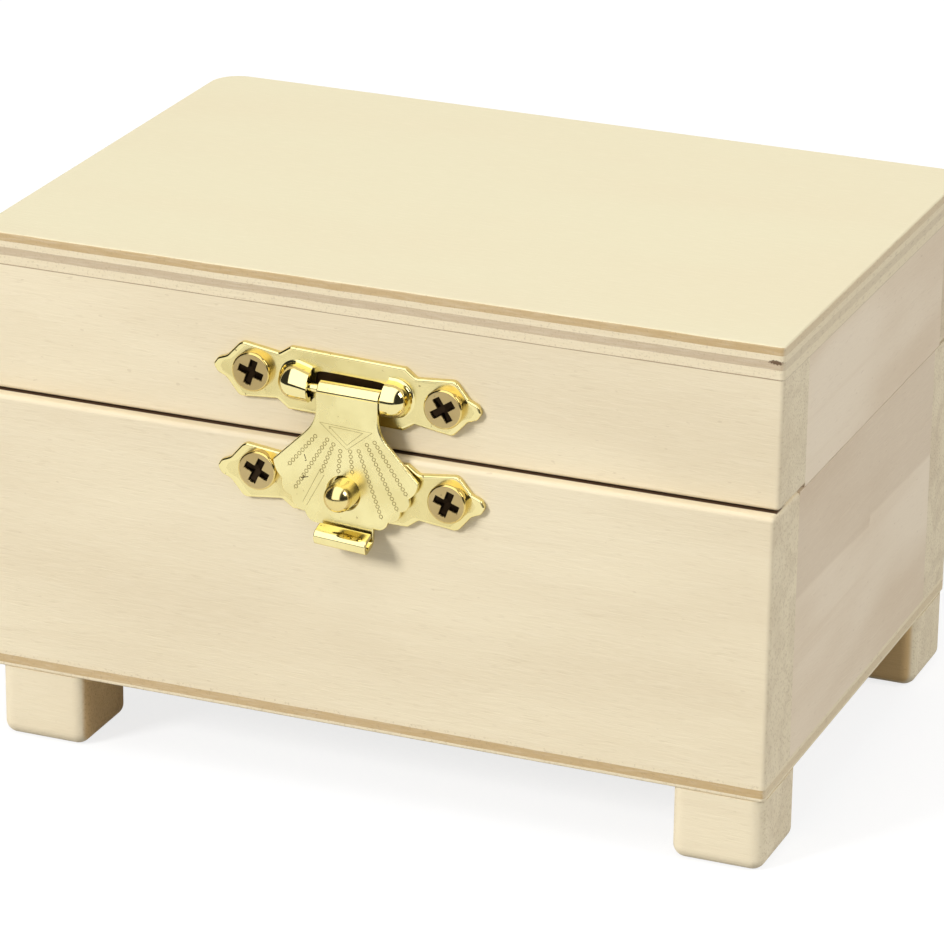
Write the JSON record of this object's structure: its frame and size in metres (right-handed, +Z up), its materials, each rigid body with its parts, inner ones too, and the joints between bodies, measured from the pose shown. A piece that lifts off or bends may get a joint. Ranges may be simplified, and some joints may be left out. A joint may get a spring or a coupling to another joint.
{
  "type": "treasure chest",
  "caption": "Small wooden treasure chest with a hinged lid, glued block feet and a pressed brass hasp clasp.",
  "frame": {"origin": "bottom centre of the closed chest, on the plane of the undersides of the feet", "axes": "+X along the width, to the right as seen from the front; +Y from the clasp towards the hinges; +Z up"},
  "size_m": [0.09, 0.0708, 0.0571],
  "materials": {
    "wood": "matte",
    "plywood": "matte",
    "brass": "polished",
    "hinge_brass": "satin",
    "screws": "satin"
  },
  "bodies": {
    "box": {"body_front_board": "wood", "body_back_board": "wood", "body_left_board": "wood", "body_right_board": "wood", "bottom_panel": "plywood", "foot_front_left": "wood", "foot_front_right": "wood", "foot_back_left": "wood", "foot_back_right": "wood", "clasp_lower_plate": "brass", "clasp_stud": "brass", "clasp_lower_screws": "screws", "hinge_left_body_leaf": "hinge_brass", "hinge_right_body_leaf": "hinge_brass", "hinge_left_pin": "hinge_brass", "hinge_right_pin": "hinge_brass", "hinge_body_screws": "screws"},
    "lid": {"lid_top_panel": "plywood", "lid_front_board": "wood", "lid_back_board": "wood", "lid_left_board": "wood", "lid_right_board": "wood", "clasp_upper_plate": "brass", "clasp_hinge_pin": "brass", "clasp_upper_screws": "screws", "hinge_left_lid_leaf": "hinge_brass", "hinge_right_lid_leaf": "hinge_brass", "hinge_lid_screws": "screws"},
    "hasp": {"clasp_hasp": "brass"}
  },
  "joints": [
    {"name": "lid_hinge", "type": "hinge", "parent": "box", "child": "lid", "pos_m": [0, 0.03433, 0.03965], "axis": [-1, 0, 0], "range_deg": [0, 190]},
    {"name": "hasp_swing", "type": "hinge", "parent": "lid", "child": "hasp", "pos_m": [-0.00095, -0.031, 0.04585], "axis": [-0.9998, 0, 0.021], "range_deg": [0, 180]}
  ]
}
